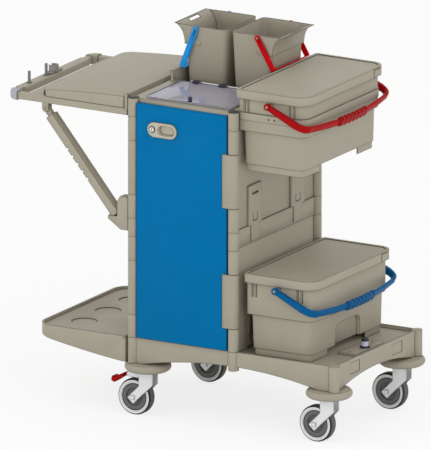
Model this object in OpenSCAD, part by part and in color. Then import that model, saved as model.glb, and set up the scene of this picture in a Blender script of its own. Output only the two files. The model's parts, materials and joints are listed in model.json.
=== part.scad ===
// Janitor cart: a post-and-panel cabinet on a castor base, with a folding bag frame and tray on the left
// and two large lidded buckets on the right. Millimetres, +Z up, door facing -Y, buckets at +X.

/* [Tower] */
// Spacing of the post axes along the cart
post_pitch_x = 385; // [370:1:410]
// Spacing of the post axes across the cart
post_pitch_y = 551; // [535:1:580]
// Radius of the post sleeves
post_r = 18.4; // [17:0.1:19]
// Radius of the post core at the hinge journals and foot spigots
core_r = 12; // [9:0.5:14]
// Height of the post tops
post_top = 1101; // [1080:1:1130]
// Underside of the middle band
mid_z = 624; // [610:1:640]
// Height of the middle and top bands
band_h = 63; // [50:1:70]
// Thickness of the band bars
bar_t = 18; // [14:1:22]
// How far the bands stand proud of the post plane
band_proud = 4; // [3:0.5:6]
// Length of the short sleeves beside each band
sleeve_h = 82; // [60:1:90]
// Length of the spigot below a post
spigot_h = 50; // [30:1:60]
// Thickness of the wall panels
wall_t = 6; // [4:0.5:8]
// Thickness of the inner shelf
shelf_t = 6; // [4:0.5:10]
// Height of the dark caps on the posts
cap_h = 3; // [2:0.5:4]

/* [Base] */
// Length of the deck past the lower bucket
deck_end = 92.5; // [80:0.5:105]
// How far the base reaches past the post axes on the long sides
base_side = 7.5; // [6.5:0.5:12]
// Height of the base moulding
base_h = 90; // [85:1:95]
// How far the base reaches past the left post axes
base_over = 20; // [20:0.5:30]
// Depth of the deck below the rim
deck_drop = 12; // [10:1:18]
// Thickness of the deck
deck_t = 5; // [4:0.5:8]
// Thickness of the skirt
skirt_t = 4; // [3:0.5:6]
// Width of the rim
rim_w = 6; // [5:0.5:6]
// Corner radius of the base
base_r = 20; // [16:1:26]
// Rise of the arch in the long skirts
arch_long = 38; // [20:1:50]
// Rise of the arch in the short skirts
arch_short = 31; // [20:1:45]

/* [Castors] */
// Wheel radius
wheel_r = 62.5; // [55:0.5:65]
// Wheel width
wheel_w = 36; // [30:1:40]
// Height of the fork crown's top above the floor
crown_z = 158.5; // [155:0.5:165]
// Trail of the axle behind the stem
trail = 44; // [38:1:48]
// Stem radius
stem_r = 6; // [5:0.5:8]
// Axle radius
axle_r = 5; // [4:0.5:6]
// Radius of the bumper discs
disc_r = 78.5; // [70:0.5:85]
// Height of the bumper discs
disc_h = 27; // [20:1:32]
// Castor inset from the left end of the base
castor_in_l = 56.5; // [50:0.5:70]
// Castor inset from the right end of the base
castor_in_r = 40.5; // [38:0.5:50]
// Castor inset from the long sides
castor_in_y = 41; // [38:0.5:50]

/* [Door] */
// Door thickness
door_t = 15; // [12:0.5:16]
// Door skin thickness
door_skin = 4; // [3:0.5:6]
// Drop of the door's top edge below the post tops
door_drop = 14; // [8:1:25]
// Width of the hinge leaves on the door face
leaf_w = 15; // [10:1:20]
// Length of the oval escutcheon
oval_l = 113; // [100:1:130]
// Height of the oval escutcheon
oval_h = 52; // [44:1:60]
// Escutcheon centre from the left post axis
oval_x = 120; // [100:1:140]
// Escutcheon centre below the post tops
oval_drop = 96; // [90:1:110]
// Radius of the lock barrel
barrel_r = 9; // [7:0.5:11]

/* [Bag frame] */
// Reach of the push bar past the left post axes
push_reach = 490; // [470:1:520]
// Width of the push bar
push_w = 40; // [30:1:44]
// Width of the rails
rail_w = 24; // [20:1:26]
// Height of the rails and bars
rail_h = 24; // [20:1:28]
// Drop of the rail's top face below the post tops
rail_drop = 41; // [36:1:50]
// Finger gap between the push bar and the crossbar
finger_gap = 40; // [32:1:50]
// Width of the crossbar
crossbar_w = 52; // [40:1:60]
// Rise of the bag lid above the rails at its left edge
bag_lid_lo = 22; // [18:1:26]
// Rise of the bag lid above the rails at the tower
bag_lid_hi = 40; // [30:1:42]
// Distance of the fold pivot from the left post axes
fold_x = 27; // [26.5:0.5:30]
// Length of a strut between its pins
strut_l = 411; // [400:1:420]
// Distance of a strut's foot from the left post axes
strut_foot = 75; // [72:1:80]
// Depth of the strut section
strut_d = 29; // [24:1:32]
// Width of the strut section
strut_w = 34; // [26:1:36]
// Distance of the strut's top pin from the left post axes
strut_x = 337; // [325:1:350]
// Radius of the tool pins
tool_pin_r = 5; // [4:0.5:6]
// Height of the tool pins
tool_pin_h = 41; // [30:1:45]
// Bore radius of the handle clip
clip_r = 12; // [10:0.5:15]

/* [Fold tray] */
// Length of the fold tray
tray_l = 344; // [330:1:355]
// Depth of the tray skirt at the base
tray_h = 89; // [80:1:89]
// Depth of the tray at its free end
tray_tip = 36; // [30:1:45]
// Depth of the tray floor below its rim
tray_drop = 9; // [6:1:14]
// Diameter of the round recesses
cup_d = 87; // [70:1:100]

/* [Large buckets] */
// Length of the bucket's flange
bucket_l = 262; // [256:1:268]
// Width of the bucket's flange
bucket_w = 519; // [510:1:524]
// Height of a bucket without its lid
bucket_h = 253; // [245:1:256]
// Height of the ribbed flange band
flange_h = 47.7; // [40:0.1:55]
// Inset of the body below the flange
body_in = 13; // [11:0.5:16]
// Draft inset of the body at its floor
draft_in = 5; // [3:0.5:8]
// Bucket wall thickness
bucket_t = 3; // [2.5:0.1:4]
// Height of the foot ring
foot_h = 24; // [18:1:28]
// Large corner radius on the free side
big_r = 42; // [38:1:46]
// Lid height
lid_h = 31; // [26:1:33]
// Overhang of the lid beyond the flange's free sides
lid_over = 9.5; // [9:0.5:12]
// Thickness of a large bail
bail_t = 11; // [9:0.5:12]
// Depth of a large bail at its bow
bail_d = 24; // [20:1:27]
// Drop angle of a large bail at rest
bail_deg = 25; // [23:0.5:27]
// Distance of the lower bucket from the right post axes
lower_off = 35; // [33:1:38]

/* [Small buckets] */
// Length of a small bucket's body
small_l = 158; // [150:1:160]
// Width of a small bucket
small_w = 216; // [200:1:222]
// Height of a small bucket
small_h = 232; // [220:1:240]
// Overhang of the pouring lip
lip_x = 42; // [36:1:43]
// Height of the pouring lip
lip_z = 67; // [60:1:75]
// Length of the blue bail
strap_blue_l = 149; // [147:1:151]
// Length of the red bail, short enough to pass the large lid
strap_red_l = 124; // [120:1:125]
// Width of the small bails' strap
strap_w = 20; // [14:1:20]
// Thickness of the strap
strap_t = 4; // [3:0.5:5]
// Drop of the well floor below the post tops
well_drop = 43; // [36:1:50]
// Rise of the well walls above the post tops
well_rise = 38; // [25:1:38]
// Depth of the small-item tub
tub_depth = 140; // [100:1:150]

/* [Fits] */
// Radial clearance of shafts and pins
pin_fit = 0.05; // [0.03:0.01:0.08]
// Gap between fixed pieces that seat on each other
seat_fit = 0.1; // [0.05:0.05:0.2]
// Gap under a lift-off piece at rest
rest_gap = 0.3; // [0.2:0.05:0.5]
// Running gap between moving pieces
run_gap = 0.6; // [0.5:0.1:0.8]

/* [Hidden] */
$fn = 48;
// Levels and axes shared by the pieces
base_l = base_over + post_pitch_x + lower_off + bucket_l + deck_end;
base_w = post_pitch_y + 2 * base_side;
skirt_z = crown_z + 0.5 + disc_h;
base_top = skirt_z + base_h;
deck_z = base_top - deck_drop;
lx = (push_reach - (base_l - base_over - castor_in_r + disc_r)) / 2;
rx = lx + post_pitch_x;
fy = -post_pitch_y / 2;
ry = post_pitch_y / 2;
bx0 = lx - base_over;
bx1 = bx0 + base_l;
by = base_w / 2;
top_z = post_top - band_h;
knuckle_h = top_z - mid_z - band_h - 2 * sleeve_h;
knuckle_lo = mid_z - sleeve_h - knuckle_h;
knuckle_hi = mid_z + band_h + sleeve_h;
posts = [[lx, fy], [rx, fy], [lx, ry], [rx, ry]];
groove_z = [knuckle_lo, mid_z - sleeve_h, mid_z, mid_z + band_h, knuckle_hi, knuckle_hi + knuckle_h, top_z];
castors = [[bx0 + castor_in_l, -by + castor_in_y], [bx1 - castor_in_r, -by + castor_in_y],
           [bx0 + castor_in_l, by - castor_in_y], [bx1 - castor_in_r, by - castor_in_y]];
column_x = bx1 - 2;
columns = [for (s = [-1, 1]) for (c = [[lx, skirt_z], [rx, skirt_z + 24], [column_x, skirt_z]])
           [c[0], s * ry, c[1]]];
// Castor fork: leg offset, leg thickness, boss depth of the stem in the base
leg_y = wheel_w / 2 + 3;
leg_t = 4;
stem_h = 60;
hub_r = 50;
pedal_pivot = [-66, crown_z - 21.5];
pedal_pin_r = 3;
lug_y = 8;
lug_t = 4;
// Tray hinge
rod_r = 3;
tray_lug_r = 5;
tray_lug_w = 24;
tray_lugs = [-200, 0, 200];
tray_axis = [bx0 - 10, base_top - tray_lug_r];
tray_x1 = bx0 - 6;
tray_x0 = tray_x1 - tray_l;
tray_y = by + 5;
// Door
door_x0 = lx + post_r + run_gap;
door_x1 = rx - post_r - run_gap;
door_z0 = base_top + 2;
door_z1 = post_top - door_drop;
oval = [lx + oval_x, post_top - oval_drop];
bar_y = fy + 1.5;
// Tub, well and clear lid
tub = [lx + 44, rx - 27, fy + 24, fy + 240];
tub_t = 4;
well = [lx + 14, rx - 14, fy + 268, ry - 31];
well_wall = 10;
well_z = post_top - well_drop;
pane_t = 4;
pane_z = post_top + 0.5;
pane = [tub[0] - 8, tub[1] + 8, tub[2] - 9, fy + 250];
pane_axis = [fy + 252, post_top + 7];
pane_knuckle_r = 5;
pane_pin_r = 2.5;
pane_tabs = [lx + 100, lx + 201, lx + 302];
pane_tab_w = 24;
knob_x = lx + 201;
// Bag frame
rail_top = post_top - rail_drop;
rail_z = rail_top - rail_h;
rail_yf = fy + 7;
rail_yr = ry - 7;
fold = [lx - fold_x, post_top + 3];
fold_r = 6.5;
fold_pin_r = 4;
seat_gap = 0.8;
tongue_w = 9;
push_x = lx - push_reach + push_w / 2;
corner_bend = 25;
rail_x1 = lx - post_r - 3.6;
cross_x0 = lx - push_reach + push_w + finger_gap;
bag_lid_x0 = cross_x0 + crossbar_w + 3;
bag_lid_x1 = lx - fold_x - fold_r - 2.5;
bag_lid_t = 4;
lid_axis = [ry + 10, rail_top + 6];
lid_knuckle_r = 5;
strut_top = [lx - strut_x, rail_z - 18];
strut_pin_r = 5;
strut_deg = acos((strut_x - strut_foot) / strut_l);
strut_end = [strut_top[0] + strut_l * cos(strut_deg), strut_top[1] - strut_l * sin(strut_deg)];
strut_end_r = 16;
clip_y = 7;
clip_h = 26;
// Buckets
upper_x = rx + 5.5;
upper_z = post_top + rest_gap - bucket_h + flange_h;
lower_x = rx + lower_off;
lower_z = deck_z + rest_gap;
collar_h = flange_h + band_h;
foot_y = 126;
ring_t = body_in - 1.5;
bail_x = bucket_l / 2;
bail_pin_r = 5;
bail_y = bucket_w / 2 + lid_over + 11 + bail_t / 2;
bail_bow = 1450;
bow_fn = 480;
bail_bend = 40;
bail_arm = bucket_l - bail_x - 12;
lid_r = big_r + 9;
small_z = well_z + rest_gap;
small_mid = [(lx + rx) / 2 + 7, fy + 394];
small_gap = 10.5;
small_t = 2.5;
// Small bails: pivot from the middle plane, length and drop angle from upright
strap_z = small_z + small_h - 9;
strap_blue = [small_l * 0.709, strap_blue_l, 21.2];
strap_red = [small_l * 0.655, strap_red_l, 31];
small_r = 18;
strap_pin_r = 4;
// Hook plates on the right wall
hook_y = 142;
hook_w = 88;
hook_h = 137;
// Deck lock
lock_x = lower_x + bucket_l + 27;
lock_w = 190;
lock_l = 52;
lock_t = 8;
knob_r = 11.5;
knob_pos = [lower_x + bucket_l + 50, 0];

// Rounded rectangle from x0, y0 to x1, y1, with its own radius on the left and right corners
module rrect(x0, x1, y0, y1, rl, rr) {
    translate([x0 + rl, y0]) square([x1 - x0 - rl - rr, y1 - y0]);
    translate([x0, y0 + rl]) square([rl, y1 - y0 - 2 * rl]);
    translate([x1 - rr, y0 + rr]) square([rr, y1 - y0 - 2 * rr]);
    for (y = [y0 + rl, y1 - rl]) translate([x0 + rl, y]) circle(rl);
    for (y = [y0 + rr, y1 - rr]) translate([x1 - rr, y]) circle(rr);
}

module rbox(x0, x1, y0, y1, z0, z1, rl, rr) {
    translate([0, 0, z0]) linear_extrude(z1 - z0) rrect(x0, x1, y0, y1, rl, rr);
}

module box(x0, x1, y0, y1, z0, z1) {
    translate([x0, y0, z0]) cube([x1 - x0, y1 - y0, z1 - z0]);
}

// Cylinder along Y from y0 to y1 through the point p of the XZ plane
module rod_y(p, r, y0, y1) {
    translate([p[0], y0, p[1]]) rotate([-90, 0, 0]) cylinder(r = r, h = y1 - y0);
}

module rod_x(x0, x1, y, z, r) {
    translate([x0, y, z]) rotate([0, 90, 0]) cylinder(r = r, h = x1 - x0);
}

// Plate with an XZ outline, from y0 to y1
module plate_y(y0, y1) {
    translate([0, y1, 0]) rotate([90, 0, 0]) linear_extrude(y1 - y0) children();
}

module post_holes() {
    for (p = posts) translate([p[0], p[1], 0]) cylinder(r = post_r + seat_fit, h = 2 * post_top);
}

// Arch cut in a skirt: a cylinder whose crown lies rise above the skirt's foot
function arch_r(chord, rise) = chord * chord / (8 * rise) + rise / 2;

module base() color("#A39D8B") {
    long_chord = base_l - 2 * castor_in_l;
    short_chord = base_w - 2 * castor_in_y;
    r_long = arch_r(long_chord, arch_long);
    r_short = arch_r(short_chord, arch_short);
    mid_x = (bx0 + bx1) / 2;
    difference() {
        union() {
            difference() {
                rbox(bx0, bx1, -by, by, skirt_z, base_top, base_r, base_r);
                rbox(bx0 + skirt_t, bx1 - skirt_t, -by + skirt_t, by - skirt_t, skirt_z - 1, deck_z - deck_t,
                     base_r - skirt_t, base_r - skirt_t);
                rbox(bx0 + rim_w, bx1 - rim_w, -by + rim_w, by - rim_w, deck_z, base_top + 1,
                     base_r / 2, base_r / 2);
                rod_y([mid_x, skirt_z + arch_long - r_long], r_long, -by - 1, by + 1);
                rod_x(bx0 - 1, bx1 + 1, 0, skirt_z + arch_short - r_short, r_short);
            }
            // Round columns under the posts and at the right corners, and the castor bosses
            for (c = columns) translate([c[0], c[1], c[2]]) cylinder(r = post_r, h = base_top - c[2]);
            for (c = castors) translate([c[0], c[1], skirt_z]) cylinder(r = 30, h = deck_z - skirt_z);
            // Stiffening ribs under the deck
            for (y = [-by / 3, by / 3]) box(bx0 + skirt_t, bx1 - skirt_t, y - 2, y + 2,
                deck_z - deck_t - 25, deck_z - 1);
            for (k = [1:3]) box(bx0 + k * base_l / 4 - 2, bx0 + k * base_l / 4 + 2, -by + skirt_t,
                by - skirt_t,
                                deck_z - deck_t - 25, deck_z - 1);
            // Hinge lugs of the fold tray
            for (y = tray_lugs) {
                box(tray_axis[0], bx0 + 1, y - tray_lug_w / 2, y + tray_lug_w / 2,
                    tray_axis[1] - tray_lug_r, base_top);
                rod_y(tray_axis, tray_lug_r, y - tray_lug_w / 2, y + tray_lug_w / 2);
            }
        }
        for (p = posts) translate([p[0], p[1], base_top - spigot_h - seat_fit])
            cylinder(r = core_r + seat_fit, h = spigot_h + 1);
        for (c = castors) translate([c[0], c[1], skirt_z - 1]) cylinder(r = stem_r + pin_fit, h = stem_h + 2);
        rod_y(tray_axis, rod_r + pin_fit, -by, by);
        // Two shallow panels in the right skirt
        for (y = [-by / 2, by / 2]) box(bx1 - 1.5, bx1 + 1, y - 32, y + 32, skirt_z + 38, base_top - 14);
        // Socket of the lock plunger
        translate([knob_pos[0], 0, deck_z - deck_t - 1]) cylinder(r = 5 + pin_fit, h = deck_t + 2);
    }
}

module bumper_discs() color("#8E8A80")
    for (c = castors) translate([c[0], c[1], crown_z + 0.5]) rotate_extrude() difference() {
        union() {
            translate([stem_r + pin_fit, 0]) square([disc_r - stem_r - pin_fit - disc_h / 3, disc_h]);
            translate([disc_r - disc_h / 2, disc_h / 2]) circle(disc_h / 2);
        }
        translate([disc_r - 34, -1]) square([16, disc_h - 5]);
    }

// Steel hinge rods of the fold tray and of the clear lid
module hinge_rods() color("silver") {
    rod_y(tray_axis, rod_r, -tray_y + 2, tray_y - 2);
    rod_x(pane_tabs[0] - pane_tab_w, pane_tabs[2] + pane_tab_w, pane_axis[0], pane_axis[1], pane_pin_r);
}

// Side outline of the fold tray, its underside a shallow curve from the base to the free end
function tray_curve(t) = [tray_x1 - t * tray_l,
    base_top - tray_h + (tray_h - tray_tip) * (0.65 * t + 0.35 * t * t)];

module tray_side(inset, top) {
    polygon(concat([[tray_x0 + inset, top], [tray_x1 - inset, top]],
                   [for (k = [0:8]) [min(max(tray_curve(k / 8)[0], tray_x0 + inset), tray_x1 - inset),
                                     tray_curve(k / 8)[1] + (inset > 0 ? -inset : 0)]]));
}

module fold_tray() color("#A39D8B") difference() {
    floor_z = base_top - tray_drop;
    cups = [-0.55, 0, 0.55];
    union() {
        intersection() {
            plate_y(-tray_y, tray_y) tray_side(0, base_top);
            rbox(tray_x0, tray_x1, -tray_y, tray_y, 0, base_top, 60, 4);
        }
    }
    // Hollow underside, with pads left round the recesses
    difference() {
        intersection() {
            plate_y(-tray_y + 4, tray_y - 4) tray_side(10, floor_z - 5);
            rbox(tray_x0 + 4, tray_x1 - 10, -tray_y + 4, tray_y - 4, 0, base_top, 56, 4);
        }
        for (k = cups) translate([tray_x0 + tray_l * 0.33, k * tray_y, floor_z - 9])
            cylinder(d = cup_d + 8, h = 20);
    }
    rbox(tray_x0 + 8, tray_x1 - 10, -tray_y + 6, tray_y - 8, floor_z, base_top + 1, 52, 4);
    for (k = cups) translate([tray_x0 + tray_l * 0.33, k * tray_y, floor_z - 3]) cylinder(d = cup_d, h = 20);
    rod_y(tray_axis, rod_r + pin_fit, -tray_y - 1, tray_y + 1);
    for (y = tray_lugs) box(tray_axis[0] - tray_lug_r - 2, bx0, y - tray_lug_w / 2 - run_gap,
                            y + tray_lug_w / 2 + run_gap, tray_axis[1] - 12, base_top + 1);
}

// Outline of a fork leg, from the crown down to the axle
module fork_leg() {
    difference() {
        union() {
            polygon([[-32, crown_z - 8], [22, crown_z - 8], [22, crown_z - 30], [-trail + 13, wheel_r - 8],
                     [-trail - 14, wheel_r + 4]]);
            translate([-trail, wheel_r]) circle(15);
        }
        translate([-trail, wheel_r]) circle(axle_r + pin_fit);
    }
}

module castor_fork(c, brake = false) color("#DCDCDE") translate([c[0], c[1], 0]) {
    for (s = [-1, 1]) plate_y(s * leg_y + (s < 0 ? -leg_t : 0), s * leg_y + (s < 0 ? 0 : leg_t)) fork_leg();
    box(-32, 22, -leg_y, leg_y, crown_z - 18, crown_z - 8);
    translate([0, 0, crown_z - 10]) cylinder(r = 26, h = 10);
    translate([0, 0, crown_z - 2]) cylinder(r = stem_r, h = stem_h);
    if (brake) for (s = [-1, 1]) difference() {
        y0 = s * (lug_y + lug_t / 2) - lug_t / 2;
        union() {
            box(pedal_pivot[0], -30, y0, y0 + lug_t, pedal_pivot[1] - 6, pedal_pivot[1] + 6);
            rod_y(pedal_pivot, 6, y0, y0 + lug_t);
        }
        rod_y(pedal_pivot, pedal_pin_r + pin_fit, -20, 20);
    }
}

module axle(c) color("silver") translate([c[0], c[1], 0]) {
    rod_y([-trail, wheel_r], axle_r, -leg_y - leg_t, leg_y + leg_t);
    for (y = [-leg_y - leg_t - 5, leg_y + leg_t]) translate([-trail, y, wheel_r]) rotate([-90, 45, 0])
        cylinder(r = 10, h = 5, $fn = 4);
}

module wheel(c) color("#E1E1E1") translate([c[0] - trail, c[1], wheel_r]) rotate([90, 0, 0])
    rotate_extrude() {
    half = wheel_w / 2;
    translate([axle_r + pin_fit, -half - 1]) square([12, 2 * half + 2]);
    translate([16, -half / 2]) square([16, half]);
    translate([31, -half + 2]) square([hub_r - 31, 2 * half - 4]);
}

module tyre(c) color("#646464") translate([c[0] - trail, c[1], wheel_r]) rotate([90, 0, 0]) rotate_extrude() {
    half = wheel_w / 2;
    polygon([[hub_r, -half + 2], [hub_r + 3, -half], [wheel_r - 5, -half], [wheel_r - 1.5, -half + 3],
             [wheel_r, -half + 8], [wheel_r, half - 8], [wheel_r - 1.5, half - 3], [wheel_r - 5, half],
             [hub_r + 3, half], [hub_r, half - 2]]);
}

module brake_pedal() color("#D0000F") translate([castors[0][0], castors[0][1], 0]) {
    p = pedal_pivot;
    rod_y(p, pedal_pin_r, -lug_y - lug_t, lug_y + lug_t);
    rod_y(p, 6, -lug_y + run_gap, lug_y - run_gap);
    plate_y(-lug_y + run_gap, lug_y - run_gap)
        polygon([[p[0] - 1, p[1] + 6], [p[0] - 24, p[1] + 1], [p[0] - 24, p[1] - 6], [p[0] - 1, p[1] - 6]]);
    plate_y(-17, 17)
        polygon([[p[0] - 20, p[1] + 2], [p[0] - 56, p[1] - 16], [p[0] - 64, p[1] - 14], [p[0] - 66,
            p[1] - 29],
                 [p[0] - 54, p[1] - 34], [p[0] - 20, p[1] - 11]]);
}

// Post with ringed sleeves; the hinge post has journals for the door knuckles
module post(p, journals = false) color("#A39D8B") translate([p[0], p[1], 0]) rotate_extrude() difference() {
    union() {
        translate([0, base_top]) square([post_r, post_top - base_top]);
        translate([0, base_top - spigot_h]) square([core_r, spigot_h + 1]);
    }
    for (z = groove_z) translate([post_r - 1, z - 1]) square([2, 2]);
    if (journals) for (z = [knuckle_lo, knuckle_hi]) translate([core_r, z]) square([post_r, knuckle_h]);
}

module post_caps() color("#3A3A38")
    for (p = posts) translate([p[0], p[1], post_top]) cylinder(r = post_r - 1, h = cap_h);

module wall_pair_x(x) {
    y0 = fy + post_r + seat_fit;
    box(x, x + wall_t, y0, -y0, deck_z, mid_z);
    box(x, x + wall_t, y0, -y0, mid_z + band_h, top_z);
}

module left_walls() color("#A39D8B") wall_pair_x(lx);

module right_walls() color("#A39D8B") wall_pair_x(rx - wall_t);

module back_walls() color("#A39D8B") {
    x0 = lx + post_r + seat_fit;
    x1 = rx - post_r - seat_fit;
    box(x0, x1, ry - wall_t, ry, deck_z, mid_z);
    box(x0, x1, ry - wall_t, ry, mid_z + band_h, top_z);
}

module middle_frame() color("#A39D8B") difference() {
    z1 = mid_z + band_h;
    union() {
        box(lx - band_proud, lx + bar_t, bar_y, ry, mid_z, z1);
        box(rx - bar_t, rx + band_proud, bar_y, ry, mid_z, z1);
        box(lx, rx, bar_y, bar_y + bar_t, mid_z, z1);
        box(lx, rx, ry - bar_t, ry + band_proud, mid_z, z1);
        box(lx, rx, bar_y, ry, z1 - shelf_t, z1);
    }
    post_holes();
}

module top_frame() color("#A39D8B") difference() {
    union() {
        box(lx - band_proud, rx + band_proud, bar_y, ry + band_proud, top_z, post_top);
        rbox(tub[0] - tub_t, tub[1] + tub_t, tub[2] - tub_t, tub[3] + tub_t,
            post_top - tub_depth - tub_t, top_z + 1,
             16, 16);
        // Walls of the bucket well, low at the front and right
        box(well[0] - well_wall, well[0], well[2] - 28, well[3] + well_wall, post_top - 1,
            post_top + well_rise);
        box(well[0] - well_wall, well[1], well[3], well[3] + well_wall, post_top - 1, post_top + well_rise);
        // Lugs of the clear lid's hinge
        for (x = pane_tabs) for (s = [-1, 1]) {
            x0 = x + s * (pane_tab_w / 2 + run_gap + 2) - 2;
            box(x0, x0 + 4, pane_axis[0] - 5, pane_axis[0] + 5, post_top - 1, pane_axis[1]);
            rod_x(x0, x0 + 4, pane_axis[0], pane_axis[1], pane_knuckle_r);
        }
    }
    post_holes();
    rbox(tub[0], tub[1], tub[2], tub[3], post_top - tub_depth, post_top + 1, 12, 12);
    rbox(well[0], well[1], well[2], well[3], well_z, post_top + well_rise + 1, 4, 4);
    rod_x(lx, rx, pane_axis[0], pane_axis[1], pane_pin_r + pin_fit);
}

// Hook plates: the upper pair has a tongue over the middle band
module wall_hook_plates() color("#A39D8B") for (y = [-hook_y, hook_y]) {
    z1 = mid_z + band_h;
    difference() {
        union() {
            box(rx, rx + band_proud + 3, y - hook_w / 2, y + hook_w / 2, z1, z1 + hook_h);
            box(rx + band_proud, rx + band_proud + 3, y - 28.5, y + 28.5, mid_z + 6, z1 + 1);
        }
        box(rx - 1, rx + 20, y - 20, y + 20, z1 + 104, z1 + 111);
        for (s = [-1, 1]) box(rx - 1, rx + 20, y + s * 14 - 1, y + s * 14 + 1, z1 + 14, z1 + 38);
        box(rx - 1, rx + 20, y - 15, y + 15, z1 + 12, z1 + 14);
    }
    difference() {
        box(rx, rx + 5, y - hook_w / 2, y + hook_w / 2, base_top, base_top + hook_h + 6);
        for (z = [base_top + 20, base_top + 118]) rod_x(rx - 1, rx + 10, y, z, 4);
    }
}

module stadium(p, l, h) {
    translate([p[0] - (l - h) / 2, p[1] - h / 2]) square([l - h, h]);
    for (s = [-1, 1]) translate([p[0] + s * (l - h) / 2, p[1]]) circle(h / 2);
}

module door_panel() color("#006EAA") difference() {
    box(door_x0, door_x1, fy - door_t, fy, door_z0, door_z1);
    // Hollow back between a frame of edges and a belt
    for (z = [[door_z0 + 12, mid_z], [mid_z + 12, oval[1] - oval_h]])
        box(door_x0 + 12, door_x1 - 12, fy - door_t + door_skin, fy + 1, z[0], z[1]);
    plate_y(fy - door_t - 1, fy + 1) stadium(oval, oval_l - 10, oval_h - 10);
}

module door_hinges() color("#A39D8B") for (z = [knuckle_lo, knuckle_hi]) {
    h = knuckle_h - 2 * run_gap;
    difference() {
        union() {
            translate([rx, fy, z + run_gap]) cylinder(r = post_r, h = h);
            box(door_x1 - leaf_w, rx, fy - post_r, fy - door_t, z + run_gap, z + run_gap + h);
        }
        translate([rx, fy, z]) cylinder(r = core_r + pin_fit, h = knuckle_h);
    }
}

module door_escutcheon() color("#B9B4A4") {
    lock = [oval[0] - 38, oval[1]];
    difference() {
        union() {
            plate_y(fy - door_t - 4, fy - door_t) stadium(oval, oval_l, oval_h);
            plate_y(fy - door_t - 1, fy - 1) stadium(oval, oval_l - 10 - 2 * seat_fit,
                oval_h - 10 - 2 * seat_fit);
        }
        // Finger pull right of the divider, and the bore of the lock
        plate_y(fy - door_t - 5, fy - 4) stadium([oval[0] + 16, oval[1]], 64, 32);
        rod_y(lock, barrel_r + pin_fit, fy - door_t - 5, fy + 1);
    }
}

module lock_barrel() color("#3A3A38") difference() {
    lock = [oval[0] - 38, oval[1]];
    union() {
        rod_y(lock, barrel_r, fy - door_t - 6, fy + 3);
        box(lock[0] - 5, lock[0] + 5, fy + 0.3, fy + 3, lock[1] - 6, lock[1] + 26);
    }
    box(lock[0] - 1, lock[0] + 1, fy - door_t - 7, fy - door_t - 3, lock[1] - 5, lock[1] + 5);
}

module clear_lid() color("#BDBACB", 0.6) difference() {
    union() {
        rbox(pane[0], pane[1], pane[2], pane[3], pane_z, pane_z + pane_t, 12, 12);
        // Stiffening edge and hinge tabs
        difference() {
            rbox(pane[0], pane[1], pane[2], pane[3], pane_z, pane_z + pane_t + 2, 12, 12);
            rbox(pane[0] + 4, pane[1] - 4, pane[2] + 4, pane[3] - 4, pane_z, pane_z + pane_t + 3, 9, 9);
        }
        for (x = pane_tabs) {
            box(x - pane_tab_w / 2, x + pane_tab_w / 2, pane[3] - 12, pane_axis[0], pane_z + pane_t - 1,
                pane_axis[1] + 3);
            rod_x(x - pane_tab_w / 2, x + pane_tab_w / 2, pane_axis[0], pane_axis[1], pane_knuckle_r);
        }
    }
    rod_x(pane[0], pane[1], pane_axis[0], pane_axis[1], pane_pin_r + pin_fit);
    for (x = pane_tabs) for (s = [-1, 1]) {
        x0 = x + s * (pane_tab_w / 2 + 2 * run_gap + 2) - 2 - run_gap;
        box(x0, x0 + 4 + 2 * run_gap, pane_axis[0] - 7, pane_axis[0] + 7, post_top, pane_axis[1] + 7);
    }
    translate([knob_x, pane[2] + 14, pane_z - 1]) cylinder(r = 3 + seat_fit, h = 10);
}

module clear_lid_knob() color("#3A3A4A") translate([knob_x, pane[2] + 14, pane_z]) {
    cylinder(r = 3, h = pane_t + 1);
    translate([0, 0, pane_t]) cylinder(r = 6.5, h = 16);
}

// Outline of the pouring lip: a quarter ellipse that leaves the wall upright and ends level at the rim
module lip_side(shift) {
    x0 = -small_gap - small_l;
    z0 = small_z + small_h - lip_z;
    polygon(concat([for (k = [0:10]) [x0 - lip_x * (1 - cos(9 * k)) + shift,
        z0 + lip_z * sin(9 * k) + shift]],
                   [[x0 + 60, z0 + lip_z + shift], [x0 + 60, z0 + shift]]));
}

// Tapered body of a small bucket, inset by t with its floor raised by t
module small_body(t) {
    w = small_w / 2;
    hull() {
        rbox(-small_gap - small_l + 8 + t, -small_gap - 8 - t, -w + 10 + t, w - 10 - t, small_z + t,
            small_z + t + 0.1,
             small_r, small_r, $fn = 32);
        rbox(-small_gap - small_l + t, -small_gap - t, -w + t, w - t, small_z + small_h - 0.1 + t,
            small_z + small_h + t,
             small_r, small_r, $fn = 32);
    }
}

// Small bucket left of the middle plane, with its pouring lip on the -X side
module small_bucket(bail) {
    w = small_w / 2;
    difference() {
        union() {
            intersection() {
                small_body(0);
                box(-2 * small_l, 0, -w, w, small_z, small_z + small_h);
            }
            plate_y(-w + 2, w - 2) lip_side(0);
            for (s = [-1, 1]) rod_y([-small_gap - bail[0], strap_z], strap_pin_r,
                                    s > 0 ? w - 2 : -w - 8, s > 0 ? w + 8 : -w + 2);
        }
        small_body(small_t);
        plate_y(-w + 2 + small_t, w - 2 - small_t) lip_side(small_t);
        // Grip slot in the lip
        box(-small_gap - small_l - lip_x + 12, -small_gap - small_l - lip_x + 24, -0.15 * small_w,
            0.15 * small_w,
            small_z, small_z + small_h);
    }
}

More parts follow.
